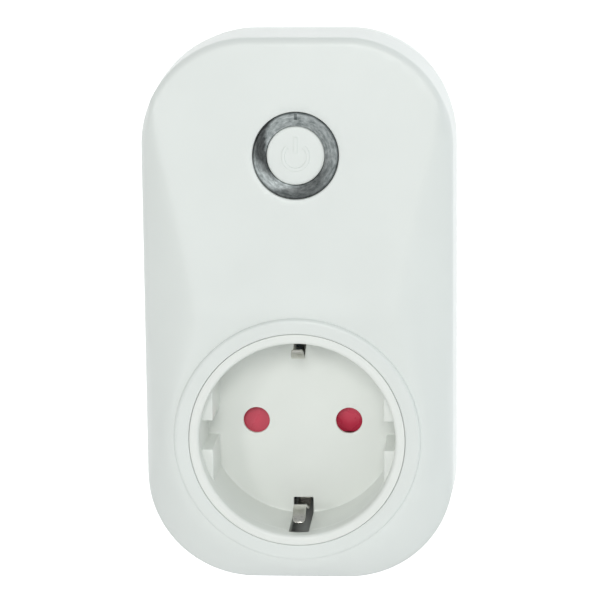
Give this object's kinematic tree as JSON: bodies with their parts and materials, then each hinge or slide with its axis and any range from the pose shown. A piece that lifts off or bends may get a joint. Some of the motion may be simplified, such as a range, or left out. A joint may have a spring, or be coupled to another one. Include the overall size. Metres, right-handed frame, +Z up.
{
  "type": "smart plug",
  "caption": "White wall-plug adapter: round earthed socket in front, push button in a clear light ring above it, earthed plug behind.",
  "frame": {"origin": "on the common axis of socket and plug, in the flat rear face that meets the wall", "axes": "+X to the right seen from the front, +Z up, front faces -Y, plug pins point along +Y"},
  "size_m": [0.063, 0.068, 0.111],
  "materials": {
    "white_plastic": "fine satin moulded plastic",
    "grey_plastic": "matt moulded plastic",
    "red_plastic": "smooth moulded plastic",
    "clear_plastic": "polished smoky clear plastic",
    "nickel": "nickel plated sheet and rod",
    "brass": "bare stamped brass",
    "steel": "zinc plated steel",
    "circuit_board": "glass fibre board with green lacquer",
    "blue_board": "glass fibre board with blue lacquer",
    "black_plastic": "moulded epoxy and nylon",
    "blue_plastic": "smooth moulded case",
    "copper_coil": "lacquered copper wire",
    "ferrite": "sintered and ground",
    "yellow_tape": "polyester tape",
    "sleeve_plastic": "shrink sleeve",
    "varistor_coat": "dipped epoxy",
    "resistor_coat": "cement coat",
    "led_resin": "cast resin"
  },
  "bodies": {
    "housing": {"front_housing": "white_plastic", "rear_housing": "white_plastic", "plug_housing": "white_plastic", "socket_insert": "white_plastic", "contact_carrier": "grey_plastic", "shutter_spring": "steel", "earth_bridge": "nickel", "live_contact": "brass", "neutral_contact": "brass", "live_pin": "nickel", "neutral_pin": "nickel", "pin_retainer": "grey_plastic", "live_strap": "brass", "neutral_strap": "brass", "plug_earth_top": "nickel", "plug_earth_bottom": "nickel", "earth_sleeve": "nickel", "light_ring": "clear_plastic", "switch_body": "black_plastic", "control_board": "circuit_board", "ring_leds": "led_resin", "wifi_board": "blue_board", "wifi_shield": "steel", "board_header": "black_plastic", "main_board": "circuit_board", "relay_case": "blue_plastic", "relay_coil": "copper_coil", "transformer_core": "ferrite", "transformer_winding": "yellow_tape", "input_capacitor": "sleeve_plastic", "output_capacitor": "sleeve_plastic", "film_capacitor": "yellow_tape", "varistor": "varistor_coat", "fuse_resistor": "resistor_coat", "bridge_rectifier": "black_plastic", "housing_screws": "steel", "carrier_screws": "steel", "control_board_screws": "steel", "main_board_screws": "steel"},
    "button": {"power_button": "white_plastic"},
    "plunger": {"switch_plunger": "grey_plastic"},
    "shutter": {"shutter": "red_plastic"},
    "clip_top": {"earth_clip_top": "nickel"},
    "clip_bottom": {"earth_clip_bottom": "nickel"},
    "armature": {"relay_armature": "steel"}
  },
  "joints": [
    {"name": "button_press", "type": "slide", "parent": "housing", "child": "button", "axis": [0, 1, 0], "range_m": [0, 0.0004], "stiffness_N_per_m": 1500, "springref_m": -0.0003},
    {"name": "plunger_press", "type": "slide", "parent": "housing", "child": "plunger", "axis": [0, 1, 0], "range_m": [0, 0.0004]},
    {"name": "shutter_turn", "type": "hinge", "parent": "housing", "child": "shutter", "pos_m": [0, -0.0109, 0], "axis": [0, 1, 0], "range_deg": [0, 38], "stiffness_Nm_per_rad": 0.002, "springref_deg": -17.19},
    {"name": "clip_top_flex", "type": "hinge", "parent": "housing", "child": "clip_top", "pos_m": [0, -0.008, 0.0179], "axis": [-1, 0, 0], "range_deg": [0, 8], "stiffness_Nm_per_rad": 0.4, "springref_deg": -1.15},
    {"name": "clip_bottom_flex", "type": "hinge", "parent": "housing", "child": "clip_bottom", "pos_m": [0, -0.008, -0.0179], "axis": [1, 0, 0], "range_deg": [0, 8], "stiffness_Nm_per_rad": 0.4, "springref_deg": -1.15},
    {"name": "armature_pull", "type": "hinge", "parent": "housing", "child": "armature", "pos_m": [-0.0066, -0.0187, 0.0347], "axis": [0, 0, 1], "range_deg": [0, 4], "stiffness_Nm_per_rad": 0.02, "springref_deg": -5.73}
  ],
  "couplings": [
    {"joint": "plunger_press", "follows": "button_press", "ratio": 1}
  ]
}
